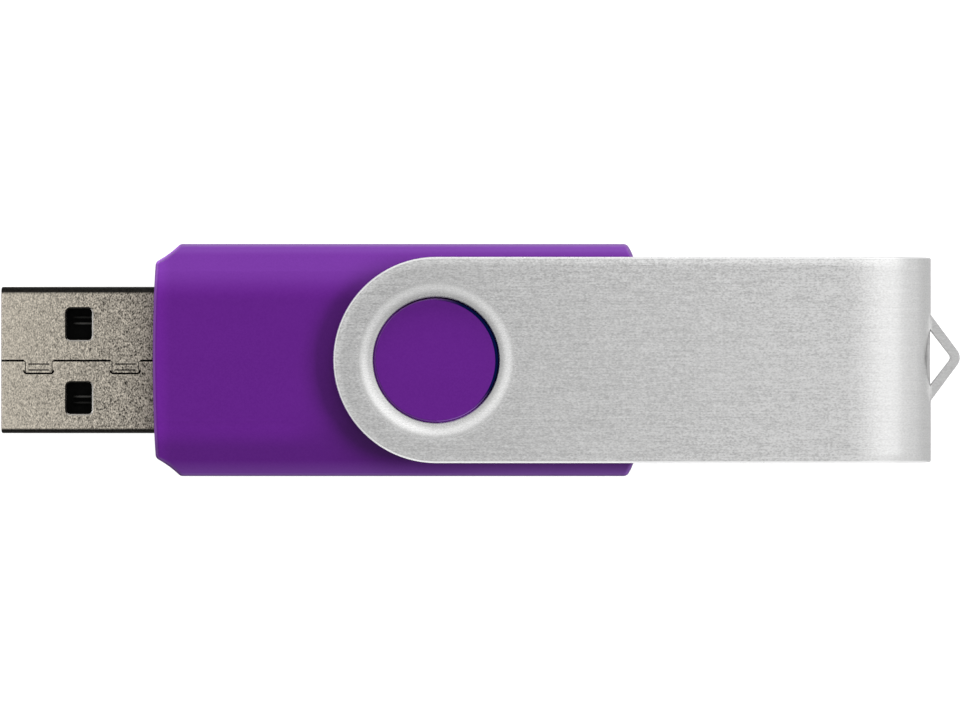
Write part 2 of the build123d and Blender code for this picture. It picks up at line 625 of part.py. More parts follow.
# ------------------------------------------------------------------ crystal
CRYSTAL_SPOT = (34.9, 3.9)
CRYSTAL_L, CRYSTAL_W = 5.0, 3.2
CRYSTAL_BASE_H, CRYSTAL_LID_H = 0.5, 0.65
CRYSTAL_STEP = 0.2  # the lid is set in by this much all round
with BuildPart() as crystal_base:
    with BuildSketch(Plane.XY.offset(BOARD_TOP)):
        with Locations(CRYSTAL_SPOT):
            RectangleRounded(CRYSTAL_L, CRYSTAL_W, 0.3)
    extrude(amount=CRYSTAL_BASE_H)
write(crystal_base.part, "crystal_base")
with BuildPart() as crystal_lid:
    with BuildSketch(Plane.XY.offset(BOARD_TOP + CRYSTAL_BASE_H)):
        with Locations(CRYSTAL_SPOT):
            RectangleRounded(CRYSTAL_L - 2 * CRYSTAL_STEP, CRYSTAL_W - 2 * CRYSTAL_STEP, 0.5)
    extrude(amount=CRYSTAL_LID_H)
    fillet(crystal_lid.edges().group_by(Axis.Z)[-1], radius=0.18)
write(crystal_lid.part, "crystal_lid")

# ------------------------------------------------------------------ small parts on top of the board
SMALL_L, SMALL_W = 0.8, 1.0  # body, along X and Y
TERMINAL_W = 0.3
LED_SPOT = (46.2, 0)  # activity light, at the rear end of the board
LED_BASE_H, LED_LENS_H = 0.3, 0.45
CAPACITOR_SPOTS = (
    (20.6, 2.2), (20.6, -2.2), (33.6, -2.6), (33.6, -4.4), (38.6, 1.6), (43.6, 2.6),
)
CAPACITOR_H = 0.8
RESISTOR_SPOTS = ((37.4, -2.6), (37.4, -4.4), (43.6, -2.0), (43.6, 0.4))
RESISTOR_H = 0.45
TERMINAL_PROUD = 0.02  # how much longer and taller than a capacitor or resistor body


def write_boxes(name, spots, length, width, height):
    """Writes equal boxes standing on the board as one piece."""
    with BuildPart() as boxes:
        with BuildSketch(Plane.XY.offset(BOARD_TOP)):
            with Locations(*spots):
                Rectangle(length, width)
        extrude(amount=height)
    write(boxes.part, name)


def write_terminals(name, spots, length, height):
    """Writes a terminal against both Y ends of each small body."""
    reach = (SMALL_W + TERMINAL_W) / 2
    ends = [(x, y + shift) for x, y in spots for shift in (-reach, reach)]
    write_boxes(name, ends, length, TERMINAL_W, height)


with BuildPart() as activity_led:
    # straight base, tapered lens
    for base_z, height, taper in ((0, LED_BASE_H, 0), (LED_BASE_H, LED_LENS_H, 12)):
        with BuildSketch(Plane.XY.offset(BOARD_TOP + base_z)):
            with Locations(LED_SPOT):
                Rectangle(SMALL_L, SMALL_W)
        extrude(amount=height, taper=taper)
write(activity_led.part, "activity_led")
write_terminals("led_terminals", [LED_SPOT], SMALL_L, LED_BASE_H)

for body_name, terminal_name, spots, height in (
    ("ceramic_capacitors", "capacitor_terminals", CAPACITOR_SPOTS, CAPACITOR_H),
    ("chip_resistors", "resistor_terminals", RESISTOR_SPOTS, RESISTOR_H),
):
    write_boxes(body_name, spots, SMALL_L, SMALL_W, height)
    write_terminals(terminal_name, spots, SMALL_L + TERMINAL_PROUD, height + TERMINAL_PROUD)

# ------------------------------------------------------------------ solder
# a fillet running down from the end of each contact to the board
BEAD_TOP = CONTACT_TOP + 0.04
BEAD_END = CONTACT_BACK + 0.45
with BuildPart() as solder_bead:
    with BuildSketch(Plane.XZ):
        with BuildLine():
            Line((CONTACT_BACK, BOARD_TOP), (CONTACT_BACK, BEAD_TOP))
            ThreePointArc(
                (CONTACT_BACK, BEAD_TOP), (CONTACT_BACK + 0.14, 0.03), (BEAD_END, BOARD_TOP)
            )
            Line((BEAD_END, BOARD_TOP), (CONTACT_BACK, BOARD_TOP))
        make_face()
    extrude(amount=CONTACT_W / 2, both=True)
with BuildPart() as contact_solder:
    with Locations(*[(0, y, 0) for _, y, _ in CONTACTS]):
        add(solder_bead.part)
write(contact_solder.part, "contact_solder_joints")

# a fillet on the inner face of each shell tab
TAB_SOLDER_X, TAB_SOLDER_L = 18.6, 1.4
TAB_SOLDER_TOP = 0.45
TAB_SOLDER_W = 0.5
with BuildPart() as shell_solder:
    with BuildSketch(Plane.YZ.offset(TAB_SOLDER_X)):
        with BuildLine():
            toe_y = SHELL_INNER_Y - TAB_SOLDER_W
            Line((SHELL_INNER_Y, BOARD_TOP), (SHELL_INNER_Y, TAB_SOLDER_TOP))
            ThreePointArc(
                (SHELL_INNER_Y, TAB_SOLDER_TOP), (SHELL_INNER_Y - 0.15, 0.12), (toe_y, BOARD_TOP)
            )
            Line((toe_y, BOARD_TOP), (SHELL_INNER_Y, BOARD_TOP))
        make_face()
        mirror(about=Plane.YZ)
    extrude(amount=TAB_SOLDER_L)
write(shell_solder.part, "shell_solder_joints")
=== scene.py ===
"""Looks and studio for a small drive with a plug, a case and a swivel cover.

It lies flat, its length along X: plug at -X, the cover's loop at +X. +Y is the far side,
-Y the near side, and the camera looks straight down. The scene is in metres. Materials
measure places in the piece's own frame in millimetres.
"""
import json
import math

import bmesh
import bpy
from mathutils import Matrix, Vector


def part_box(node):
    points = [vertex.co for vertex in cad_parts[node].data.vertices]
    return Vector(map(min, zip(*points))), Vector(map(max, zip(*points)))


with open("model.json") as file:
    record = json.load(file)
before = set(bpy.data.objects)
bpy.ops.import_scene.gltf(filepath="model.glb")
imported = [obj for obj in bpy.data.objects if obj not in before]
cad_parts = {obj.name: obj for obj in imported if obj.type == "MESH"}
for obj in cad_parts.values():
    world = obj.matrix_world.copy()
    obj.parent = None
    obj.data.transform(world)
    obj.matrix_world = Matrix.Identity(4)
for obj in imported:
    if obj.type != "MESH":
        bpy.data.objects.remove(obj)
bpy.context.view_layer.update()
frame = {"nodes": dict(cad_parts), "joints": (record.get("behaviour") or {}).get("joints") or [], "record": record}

scene = bpy.context.scene

pivot = Vector(frame["joints"][0]["pos_m"])
plug_lo, plug_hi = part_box("plug_shell")
case_lo, case_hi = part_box("upper_case")
cover_lo, cover_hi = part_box("swivel_cover")

# places used by the materials, in mm
PIVOT_X = pivot.x * 1000
PLUG_TIP_X = plug_lo.x * 1000
PLUG_TOP_Z = plug_hi.z * 1000
CASE_FRONT_X = case_lo.x * 1000
CASE_TOP_Z = case_hi.z * 1000
COVER_START_X = cover_lo.x * 1000
COVER_END_X = cover_hi.x * 1000
COVER_HALF_WIDTH = (cover_hi.y - cover_lo.y) * 500


# ------------------------------------------------------------------ node helpers
def set_inputs(node, inputs):
    """Fill a node's inputs, by name or index, with numbers or links."""
    for key, value in dict(inputs).items():
        socket = node.inputs[key]
        if isinstance(value, Value):
            node.id_data.links.new(value.socket, socket)
        else:
            socket.default_value = value


def add_node(tree, kind, inputs=(), **props):
    node = tree.nodes.new(kind)
    for key, setting in props.items():
        setattr(node, key, setting)
    set_inputs(node, inputs)
    return node


def output(tree, kind, inputs=(), out=0, **props):
    """Add a node and return one of its outputs as a Value."""
    return Value(add_node(tree, kind, inputs, **props).outputs[out])


class Value:
    """A node's output. Arithmetic and comparisons on it add Math nodes."""

    def __init__(self, socket):
        self.socket = socket

    def feed(self, kind, inputs, out=0, **props):
        """Add a node to the same tree."""
        return output(self.socket.id_data, kind, inputs, out, **props)

    def calc(self, operation, *others):
        return self.feed("ShaderNodeMath", enumerate((self, *others)), operation=operation)

    def __add__(self, other):
        return self.calc("ADD", other)

    def __sub__(self, other):
        return self.calc("SUBTRACT", other)

    def __rsub__(self, number):
        return self.feed("ShaderNodeMath", {0: number, 1: self}, operation="SUBTRACT")

    def __mul__(self, other):
        return self.calc("MULTIPLY", other)

    def __truediv__(self, other):
        return self.calc("DIVIDE", other)

    def __lt__(self, other):
        return self.calc("LESS_THAN", other)

    def __gt__(self, other):
        return self.calc("GREATER_THAN", other)

    def __abs__(self):
        return self.calc("ABSOLUTE", 0.0)

    def sqrt(self):
        return self.calc("SQRT", 0.0)

    def min(self, other):
        return self.calc("MINIMUM", other)

    def max(self, other):
        return self.calc("MAXIMUM", other)

    def affine(self, gain, base):
        """self * gain + base"""
        return self.calc("MULTIPLY_ADD", gain, base)

    def ramp(self, over, to=(0.0, 1.0), interpolation="LINEAR"):
        """Map the range `over`, which may run downwards, to the range `to`, clamped."""
        names = ("From Min", "From Max", "To Min", "To Max")
        inputs = {"Value": self, **dict(zip(names, (*over, *to)))}
        return self.feed("ShaderNodeMapRange", inputs, "Result",
                         interpolation_type=interpolation, clamp=True)

    def ease(self, over, to=(0.0, 1.0)):
        """Like ramp, with soft ends."""
        return self.ramp(over, to, "SMOOTHSTEP")

    def vector(self, operation, *others, out=0):
        return self.feed("ShaderNodeVectorMath", enumerate((self, *others)), out,
                         operation=operation)

    def scale(self, factor):
        return self.feed("ShaderNodeVectorMath", {0: self, "Scale": factor}, operation="SCALE")

    def stretch(self, factors):
        return self.feed("ShaderNodeMapping", {"Vector": self, "Scale": factors})

    def split(self):
        """The x, y and z of a vector."""
        node = add_node(self.socket.id_data, "ShaderNodeSeparateXYZ", {"Vector": self})
        return [Value(socket) for socket in node.outputs]

    def plan_distance(self, centre_x, centre_y=0):
        """Distance from an upright axis."""
        offset = self.vector("SUBTRACT", (centre_x, centre_y, 0))
        return offset.vector("MULTIPLY", (1, 1, 0)).vector("LENGTH", out="Value")

    def noise(self, scale, detail=2.0, rough=0.5, distort=0.0, out="Fac"):
        inputs = {"Vector": self, "Scale": scale, "Detail": detail,
                  "Roughness": rough, "Distortion": distort}
        return self.feed("ShaderNodeTexNoise", inputs, out, noise_dimensions="3D")

    def bump(self, strength, distance, normal=None):
        """A normal bumped by this height; distance is in metres."""
        inputs = {"Strength": strength, "Distance": distance, "Height": self}
        if normal is not None:
            inputs["Normal"] = normal
        return self.feed("ShaderNodeBump", inputs)


def mix(mask, under, over):
    """Colour `under` where the mask is 0, `over` where it is 1."""
    return mask.feed("ShaderNodeMix", {"Factor": mask, 6: under, 7: over}, 2, data_type="RGBA")


def grey(level):
    return (level, level, level, 1)


def srgb(*channels):
    """0-255 display values to linear."""
    linear = []
    for channel in channels:
        channel /= 255
        linear.append(channel / 12.92 if channel <= 0.04045 else ((channel + 0.055) / 1.055) ** 2.4)
    return (*linear, 1.0)


materials = {}


def new_material(name):
    """Register a material; return its tree, Principled shader and place in mm."""
    material = bpy.data.materials.new(name)
    materials[name] = material
    material.use_nodes = True
    tree = material.node_tree
    tree.nodes.clear()
    surface = add_node(tree, "ShaderNodeOutputMaterial")
    shader = add_node(tree, "ShaderNodeBsdfPrincipled")
    set_inputs(surface, {"Surface": Value(shader.outputs["BSDF"])})
    return tree, shader, output(tree, "ShaderNodeTexCoord", out="Object").scale(1000.0)


def own_normal(tree):
    """The surface normal in the piece's own frame, as x, y, z."""
    normal = output(tree, "ShaderNodeNewGeometry", out="Normal")
    return normal.feed("ShaderNodeVectorTransform", {"Vector": normal}, vector_type="NORMAL",
                       convert_from="WORLD", convert_to="OBJECT").split()


def from_above(tree):
    """1 where the surface is seen from nearly straight above or below, 0 at a slant."""
    incoming = output(tree, "ShaderNodeNewGeometry", out="Incoming")
    return abs(incoming.split()[2]).ease(over=(0.84, 0.97))


# ------------------------------------------------------------------ case
PURPLE = (0.0515, 0.0040, 0.1065)
PURPLE_FLOW = (PURPLE[0] * 1.03, PURPLE[1] * 1.06, PURPLE[2] * 1.03, 1)
PIGMENT_FLECK = (0.20, 0.05, 0.33, 1)
# the edge tones are painted sheen; the gap colours are a painted shadow and a painted glow
EDGE_SHEEN_PAINTED = (0.118, 0.052, 0.205, 1)
FAR_EDGE_SHEEN_PAINTED = (0.066, 0.036, 0.098, 1)
FRONT_EDGE_SHEEN_PAINTED = (0.130, 0.046, 0.215, 1)
PAINTED_GAP_SHADE = (0.0002, 0.0022, 0.020, 1)
GAP_GLOW_PAINTED = (0.125, 0.022, 0.25, 1)
GAP_GLOW_PAINTED_STRENGTH = 0.45
EDGE_SHEEN_AMOUNT = 0.85  # how far rounded edges go to their painted sheen
FAR_SHEEN_AMOUNT = 0.16  # the same painted sheen on the far shoulder


def case_plastic():
    tree, shader, point = new_material("case_plastic")
    # faint moulding flow and pigment mottling
    flow = point.stretch((0.12, 0.25, 0.25)).noise(scale=1.0, detail=3.0, rough=0.55, distort=0.6)
    fine = point.noise(scale=7.0, detail=3.0, rough=0.6)
    tone = mix(flow.ease(over=(0.35, 0.65)), (*PURPLE, 1), PURPLE_FLOW)
    tone = mix(fine.ease(over=(0.32, 0.68), to=(0.0, 0.04)), tone, PIGMENT_FLECK)

    # painted sheen: rounded edges and the far shoulder are painted paler, as light falling on them would make them
    normal_x, normal_y, normal_z = own_normal(tree)
    up = abs(normal_z)
    rounded = up.ease(over=(0.10, 0.40))
    turned_sheen_painted = up.ease(over=(0.962, 0.80)) * rounded
    edge_sheen_painted = mix(normal_y.ease(over=(0.15, 0.45)), EDGE_SHEEN_PAINTED, FAR_EDGE_SHEEN_PAINTED)
    edge_sheen_painted = mix(normal_x.ease(over=(-0.15, -0.45)), edge_sheen_painted, FRONT_EDGE_SHEEN_PAINTED)
    far = normal_y.ease(over=(0.02, 0.30)) * rounded
    tone = mix(far * FAR_SHEEN_AMOUNT, tone, EDGE_SHEEN_PAINTED)

    # painted highlight: a paler band along both long edges, stronger towards +X, and a painted lighter front
    x, y, z = point.split()
    behind = x.ease(over=(34.0, 44.0))
    near_highlight_painted = y.ramp(over=(-8.2, -9.25)) * behind.affine(gain=0.26, base=0.34)
    far_highlight_painted = y.ease(over=(8.5, 9.05)) * behind.affine(gain=0.10, base=0.19)
    tone = mix(near_highlight_painted.max(far_highlight_painted) * rounded, tone, EDGE_SHEEN_PAINTED)
    # painted sheen on the turned edges
    tone = mix(turned_sheen_painted * EDGE_SHEEN_AMOUNT, tone, edge_sheen_painted)
    tone = tone.scale(x.ramp(over=(CASE_FRONT_X + 1.5, CASE_FRONT_X + 0.2), to=(1.0, 1.30)))

    # painted highlight: the near shoulder is painted pale a little further round than the far one
    shoulder_highlight_painted = y.ease(over=(-4.6, -5.95)) * y.ease(over=(-7.3, -6.1))
    shoulder_highlight_painted = shoulder_highlight_painted * x.ease(over=(27.0, 23.0)) * rounded
    tone = tone.scale(shoulder_highlight_painted.affine(gain=0.20, base=1.0))
    # painted shade: the upright walls, which face the strips squarely, are painted a shade deeper
    tone = tone.scale(up.ease(over=(0.05, 0.35), to=(0.55, 1.0)))

    # painted shadow: a dark crescent around the boss on its +X side, where a shadow gap would show
    off_boss = point.plan_distance(PIVOT_X - 0.098, -0.060)
    gap_shadow_painted = off_boss.ease(over=(4.885, 4.93)) * (abs(z) > CASE_TOP_Z - 0.55) * (off_boss < 5.4)
    gap_shadow_painted = gap_shadow_painted * x.ease(over=(PIVOT_X - 0.8, PIVOT_X + 2.2)) * y.ease(over=(-4.6, -2.2))

    # painted light: a faint purple glow in the gap on the other side of the boss
    around = point.plan_distance(PIVOT_X)
    gap_glow_painted = (around > 4.99) * (around < 5.3)
    gap_glow_painted = gap_glow_painted * (x - PIVOT_X + y * 0.8).ease(over=(1.5, -1.5))

    # spark-eroded mould texture
    grain = point.noise(scale=12.0, detail=3.0, rough=0.6)
    gloss = point.noise(scale=1.6, detail=3.0)
    set_inputs(shader, {
        "Base Color": mix(gap_shadow_painted, tone, PAINTED_GAP_SHADE),
        "Roughness": gloss.ease(over=(0.3, 0.7), to=(0.40, 0.46)),
        "IOR": 1.5,
        "Specular IOR Level": gap_shadow_painted.affine(gain=-0.12, base=0.13),
        "Emission Color": GAP_GLOW_PAINTED,
        "Emission Strength": gap_glow_painted * from_above(tree) * GAP_GLOW_PAINTED_STRENGTH,
        "Normal": grain.bump(strength=0.12, distance=0.00001),
    })


# ------------------------------------------------------------------ swivel cover
BRUSHED_DARK = (0.545, 0.545, 0.542, 1)
BRUSHED_LIGHT = (0.925, 0.925, 0.921, 1)
WORN_SHEEN = (0.76, 0.76, 0.757, 1)
BURR_HIGHLIGHT_PAINTED = 0.9  # how far the burr goes to its painted highlight
# painted glints that glow on the burr, stronger on the near side
EDGE_GLINT_PAINTED = 0.09
NEAR_EDGE_GLINT_PAINTED = 0.30
BEND_GLOW_PAINTED_STRENGTH = 0.11  # painted light glowing on the bend behind the loop's opening
OPENING_Y = 0.19
OPENING_HALF_WIDTH = 3.2
BEND_Z = 1.6
BURR_SMOOTHING = 0.03  # roughness taken off on the burr
BURNISH_SMOOTHING = 0.09  # roughness taken off around the pivot


def cover_metal():
    tree, shader, point = new_material("cover_metal")

    def strokes(along, across):
        return point.stretch((along, across, along)).noise(scale=1.0, detail=1.5)

    # brushed along the length: long lines, dashes and hairlines, each with its weight
    lines = (strokes(along=0.35, across=8.5) * 0.24
             + strokes(along=5.5, across=9.5) * 0.64
             + strokes(along=0.10, across=15.0) * 0.12)
    # the lines fade over the bend and on the pressed-in rim, burnished by their tools
    x, y, z = point.split()
    from_pivot = point.plan_distance(PIVOT_X)
    burnished = from_pivot.ease(over=(6.62, 6.30))
    kept = x.ease(over=(68.0, 74.0), to=(1.0, 0.36)) * burnished.affine(gain=-0.55, base=1.0)
    lines = (lines - 0.5).affine(gain=kept, base=0.5)
    tone = mix(lines.ramp(over=(0.34, 0.66)), BRUSHED_DARK, BRUSHED_LIGHT)
    # hand-worn sheen, very slow
    wear = point.stretch((0.03, 0.09, 0.03)).noise(scale=1.0)
    tone = mix(wear.ease(over=(0.35, 0.65), to=(0.0, 0.2)), tone, WORN_SHEEN)

    # painted light: lighter towards +X, with painted shade just ahead of the fold and along the loop
    shade = point.split()[0].ramp(over=(COVER_START_X, COVER_END_X - 8), to=(0.957, 1.232))
    loop = (x.ease(over=(74.3, 75.9), to=(1.0, 0.90))
            * x.ease(over=(76.30, 76.40), to=(1.0, 0.94)))
    fold_shade_painted = x.ease(over=(69.5, 72.8)) * x.ease(over=(73.6, 73.0))
    tone = tone.scale(shade * (loop * fold_shade_painted.affine(gain=-0.055, base=1.0)))

    # distance in from the sheared outline: straight sides and a round -X end
    outline_x, outline_y, _ = point.split()
    back = (outline_x - PIVOT_X).min(0.0)
    inward = COVER_HALF_WIDTH - (back * back + outline_y * outline_y).sqrt()
    # polished burr on the very edge, with a painted highlight
    burr_and_highlight = inward.ease(over=(0.06, 0.20), to=(1.0, 0.0))
    facing_up = abs(own_normal(tree)[2]).ease(over=(0.15, 0.6))
    # painted glint: the burr glows, more on the near side
    glint = burr_and_highlight * facing_up * y.ease(over=(-8.3, -4.0), to=(NEAR_EDGE_GLINT_PAINTED, EDGE_GLINT_PAINTED))

    # painted light: a faint glow on the bend behind the loop's opening
    across = (y - OPENING_Y) / OPENING_HALF_WIDTH
    hollow = (across * across).affine(gain=0.50, base=75.78)
    bend_glow_painted = (x - hollow).ease(over=(-0.02, 0.06)) * (abs(across) < 1.0)
    bend_glow_painted = bend_glow_painted * (x < 76.30) * (abs(z - BEND_Z) < 0.75)
    bend_glow_painted = bend_glow_painted * from_above(tree) * BEND_GLOW_PAINTED_STRENGTH

    rough = lines.ramp(over=(0.3, 0.7), to=(0.29, 0.34))
    # die roll just inside the edge, a slight dish towards the rim, then the brush lines
    relief = inward.ease(over=(0.0, 0.75)).bump(strength=0.55, distance=0.00012)
    relief = from_pivot.ease(over=(6.2, 7.7)).bump(strength=0.5, distance=0.00007, normal=relief)
    # the burr is painted near white as a highlight
    set_inputs(shader, {
        "Base Color": mix(burr_and_highlight * BURR_HIGHLIGHT_PAINTED, tone, grey(0.98)),
        "Emission Color": grey(1.0),
        "Emission Strength": glint + bend_glow_painted,
        "Metallic": 1.0,
        "Anisotropic": 0.6,
        "Tangent": output(tree, "ShaderNodeVectorTransform", {"Vector": (0.0, 1.0, 0.0)},
                          vector_type="VECTOR", convert_from="OBJECT", convert_to="WORLD"),
        "Roughness": rough - burr_and_highlight * BURR_SMOOTHING - burnished * BURNISH_SMOOTHING,
        "Normal": lines.bump(strength=0.10, distance=0.00002, normal=relief),
    })


# ------------------------------------------------------------------ plug
STEEL_TIP = (0.69, 0.63, 0.53, 1)
STEEL_CASE_END = (0.34, 0.308, 0.262, 1)
STEEL_DULL = (0.22, 0.192, 0.172, 1)
STEEL_DULL_AMOUNT = 0.45
# painted dark reflection for the rolled edges, painted shade for the recesses, painted highlight and shade for the
# latch windows' edges
EDGE_REFLECTION_PAINTED = (0.011, 0.0105, 0.0095)
RECESS_SHADE_PAINTED = (0.030, 0.028, 0.025, 1)
WINDOW_SHADE_PAINTED = (0.035, 0.033, 0.030, 1)
WINDOW_HIGHLIGHT_PAINTED = (0.95, 0.92, 0.88, 1)
WINDOW_NEAR_HIGHLIGHT_PAINTED = (0.19, 0.18, 0.165, 1)
WINDOW_ALONG = 6.4  # middle of the latch windows, from the plug's tip
WINDOW_REACH = 1.4
GRAIN_WARP = 0.2


def plug_metal():
    tree, shader, point = new_material("plug_metal")
    along = point.split()[0] - PLUG_TIP_X
    # leathery pickled-steel grain, three sizes with their weights
    warp = point.noise(scale=1.3, detail=2.0, out="Color").scale(GRAIN_WARP)
    bent = point.vector("ADD", warp)
    grain = bent.stretch((11.0, 6.5, 6.5)).noise(scale=1.0, detail=1.0)
    leather = bent.stretch((4.5, 3.6, 3.6)).noise(scale=1.0, detail=2.0, rough=0.6)
    fine = point.noise(scale=14.0, detail=1.0)
    height = grain * 0.60 + leather * 0.28 + fine * 0.12

    # duller and greyer towards the case, with more contrast in the grain
    base = mix(along.ramp(over=(0.0, 12.8)), STEEL_TIP, STEEL_CASE_END)
    base = mix(along.ease(over=(9.5, 12.9)) * STEEL_DULL_AMOUNT, base, STEEL_DULL)
    dark = along.ramp(over=(0.0, 11.0), to=(0.55, -0.10))
    light = along.ramp(over=(0.0, 11.0), to=(1.50, 2.10))
    base = base.scale((light - dark).affine(gain=height.ramp(over=(0.34, 0.66)), base=dark))

    # painted reflection: the rolled long edges are painted dark, as if mirroring dark surroundings, further in on
    # the far side
    normal_x, normal_y, normal_z = own_normal(tree)
    _, y, z = point.split()
    above = from_above(tree)
    far = normal_y.ease(over=(-0.03, 0.30)) * y.ease(over=(5.2, 5.4))
    near = normal_y.ease(over=(-0.22, -0.55)) * y.ease(over=(-5.2, -5.4))
    edge = far.max(near) * abs(normal_z).ease(over=(0.05, 0.35))
    edge = edge * above.affine(gain=0.85, base=0.15)
    speck = height.ramp(over=(0.30, 0.62), to=(0.5, 2.2))
    dark_reflection_painted = output(tree, "ShaderNodeVectorMath", {0: EDGE_REFLECTION_PAINTED, "Scale": speck},
                       operation="SCALE")
    base = mix(edge, base, dark_reflection_painted)

    # painted shade: the pressed and sheared recesses on the two broad faces are painted dark inside
    side = abs(y).ease(over=(5.15, 5.35))
    depth = PLUG_TOP_Z - abs(z)
    sunk_shade_painted = depth.ease(over=(0.03, 0.07)) * (1.0 - side) * (depth < 0.295) * (abs(y) < 1.5)
    groove = abs(y + 0.05) < 0.09
    base = mix(sunk_shade_painted * groove.max(along > 0.2), base, RECESS_SHADE_PAINTED)

    # painted highlight and painted shade on the sheared edges of the latch windows: bright at +X, dimmer on the
    # near side, dark at -X and on the far side
    chamfer = normal_z.ease(over=(0.93, 0.80)) * (abs(y) < 4.8) * (abs(y) > 1.5)
    chamfer = chamfer * normal_z.ease(over=(0.2, 0.5))
    chamfer = chamfer * (abs(along - WINDOW_ALONG) < WINDOW_REACH)
    chamfer = chamfer * above.affine(gain=0.75, base=0.25)
    lit = (normal_y - normal_x).ease(over=(-0.25, 0.25))
    bright = mix(normal_y.ease(over=(0.2, 0.6)), WINDOW_HIGHLIGHT_PAINTED, WINDOW_NEAR_HIGHLIGHT_PAINTED)

    relief = along.ramp(over=(0.0, 11.0), to=(0.25, 0.95))
    set_inputs(shader, {
        "Base Color": mix(chamfer, base, mix(lit, WINDOW_SHADE_PAINTED, bright)),
        "Metallic": (chamfer * lit).affine(gain=-0.35, base=1.0),
        "Roughness": fine.ease(over=(0.3, 0.7), to=(0.28, 0.38)),
        "Normal": height.bump(strength=relief, distance=0.00006),
    })


# ------------------------------------------------------------------ smaller pieces
MIDDLE = (0.3, 0.7)  # the part of a noise's range that shows


def insulator_plastic():
    _, shader, point = new_material("insulator_plastic")
    tone = mix(point.noise(scale=1.2).ease(over=MIDDLE), grey(0.0008), (0.002, 0.0018, 0.0016, 1))
    # painted highlight along the tops of the ribs under the latch windows
    x, y, z = point.split()
    rib_highlight_painted = z.ease(over=(1.08, 1.13)) * (z < 1.2) * x.ease(over=(5.8, 6.6))
    rib_highlight_painted = rib_highlight_painted * abs(y).ease(over=(3.2, 3.3), to=(0.075, 0.018))
    set_inputs(shader, {
        "Base Color": mix(rib_highlight_painted, tone, (1.0, 0.98, 0.94, 1)),
        "Roughness": point.noise(scale=3.0).ease(over=MIDDLE, to=(0.40, 0.55)),
        "Specular IOR Level": 0.06,
        "Normal": point.noise(scale=12.0).bump(strength=0.1, distance=0.00001),
    })


def mottled(name, light, dark, mottle, detail, rough_range, metallic, grain, relief):
    """Two tones mottled together, uneven gloss and a fine grain."""
    _, shader, point = new_material(name)
    tone = point.noise(scale=mottle, detail=detail).ease(over=MIDDLE)
    set_inputs(shader, {
        "Base Color": mix(tone, srgb(*light), srgb(*dark)),
        "Metallic": metallic,
        "Roughness": point.noise(scale=4.0, detail=3.0).ease(over=MIDDLE, to=rough_range),
        "Normal": point.noise(scale=grain, detail=3.0).bump(strength=relief, distance=0.00002),
    })


def plain_metal(name, light, dark, rough, grain=8.0, relief=0.15):
    mottled(name, light, dark, mottle=1.5, detail=3.0, metallic=1.0,
            rough_range=(rough * 0.85, rough * 1.2), grain=grain, relief=relief)


def plain_solid(name, light, dark, rough):
    mottled(name, light, dark, mottle=2.0, detail=4.0, metallic=0.0,
            rough_range=(rough * 0.85, rough * 1.15), grain=10.0, relief=0.15)


def led_epoxy():
    _, shader, point = new_material("led_epoxy")
    tone = point.noise(scale=2.0).ease(over=MIDDLE)
    set_inputs(shader, {
        "Base Color": mix(tone, srgb(214, 226, 240), srgb(228, 236, 245)),
        "Roughness": point.noise(scale=6.0).ease(over=MIDDLE, to=(0.12, 0.2)),
        "Transmission Weight": 0.6,
    })


def board_laminate():
    tree, shader, point = new_material("board_laminate")
    # glass-cloth weave showing faintly through the mask
    warp, weft = (
        output(tree, "ShaderNodeTexWave", {"Vector": point, "Scale": 0.9}, "Fac",
               wave_type="BANDS", bands_direction=axis)
        for axis in "XY"
    )
    weave = warp * weft
    set_inputs(shader, {
        "Base Color": mix(weave, srgb(14, 84, 48), srgb(18, 98, 58)),
        "Roughness": point.noise(scale=3.0).ease(over=MIDDLE, to=(0.22, 0.34)),
        "Normal": weave.bump(strength=0.2, distance=0.00001),
    })


case_plastic()
cover_metal()
plug_metal()
insulator_plastic()
plain_metal("contact_metal", (236, 196, 110), (222, 176, 88), rough=0.22)
board_laminate()
plain_solid("chip_plastic", (38, 38, 40), (28, 28, 30), rough=0.55)
plain_metal("tin_plate", (206, 207, 208), (188, 189, 191), rough=0.3)
plain_metal("crystal_metal", (200, 201, 204), (184, 186, 190), rough=0.28)
plain_solid("ceramic_white", (222, 217, 202), (206, 200, 186), rough=0.3)
plain_solid("ceramic_tan", (176, 138, 92), (160, 122, 80), rough=0.5)
plain_solid("resistor_black", (26, 27, 30), (18, 19, 22), rough=0.25)
led_epoxy()
plain_metal("solder", (210, 211, 213), (190, 192, 195), rough=0.18, grain=3.0, relief=0.3)

for row in frame["record"]["subparts"]:
    slots = frame["nodes"][row["node"]].data.materials
    slots.clear()
    slots.append(materials[row["material_slot"]])

# ------------------------------------------------------------------ floor
FLOOR_RADIUS = 1.2
FLOOR_SIDES = 96
FLOOR_DROP = 0.00002  # clearance below the cover
FLOOR_GLOW = 0.9  # added brightness seen by the camera
FLOOR_SHEEN = 0.09  # added brightness seen in reflections


def floor_white():
    tree, shader, point = new_material("floor_white")
    tone = point.noise(scale=0.02).ease(over=MIDDLE)
    set_inputs(shader, {
        "Base Color": mix(tone, grey(0.21), grey(0.23)),
        "Roughness": 0.9,
        "Specular IOR Level": 0.1,
    })
    rays = add_node(tree, "ShaderNodeLightPath").outputs
    shown = Value(rays["Is Camera Ray"]) * FLOOR_GLOW
    strength = Value(rays["Is Glossy Ray"]).affine(gain=FLOOR_SHEEN, base=shown)
    glow = output(tree, "ShaderNodeEmission", {"Strength": strength})
    lit = output(tree, "ShaderNodeAddShader", {0: Value(shader.outputs["BSDF"]), 1: glow})
    set_inputs(tree.nodes["Material Output"], {"Surface": lit})


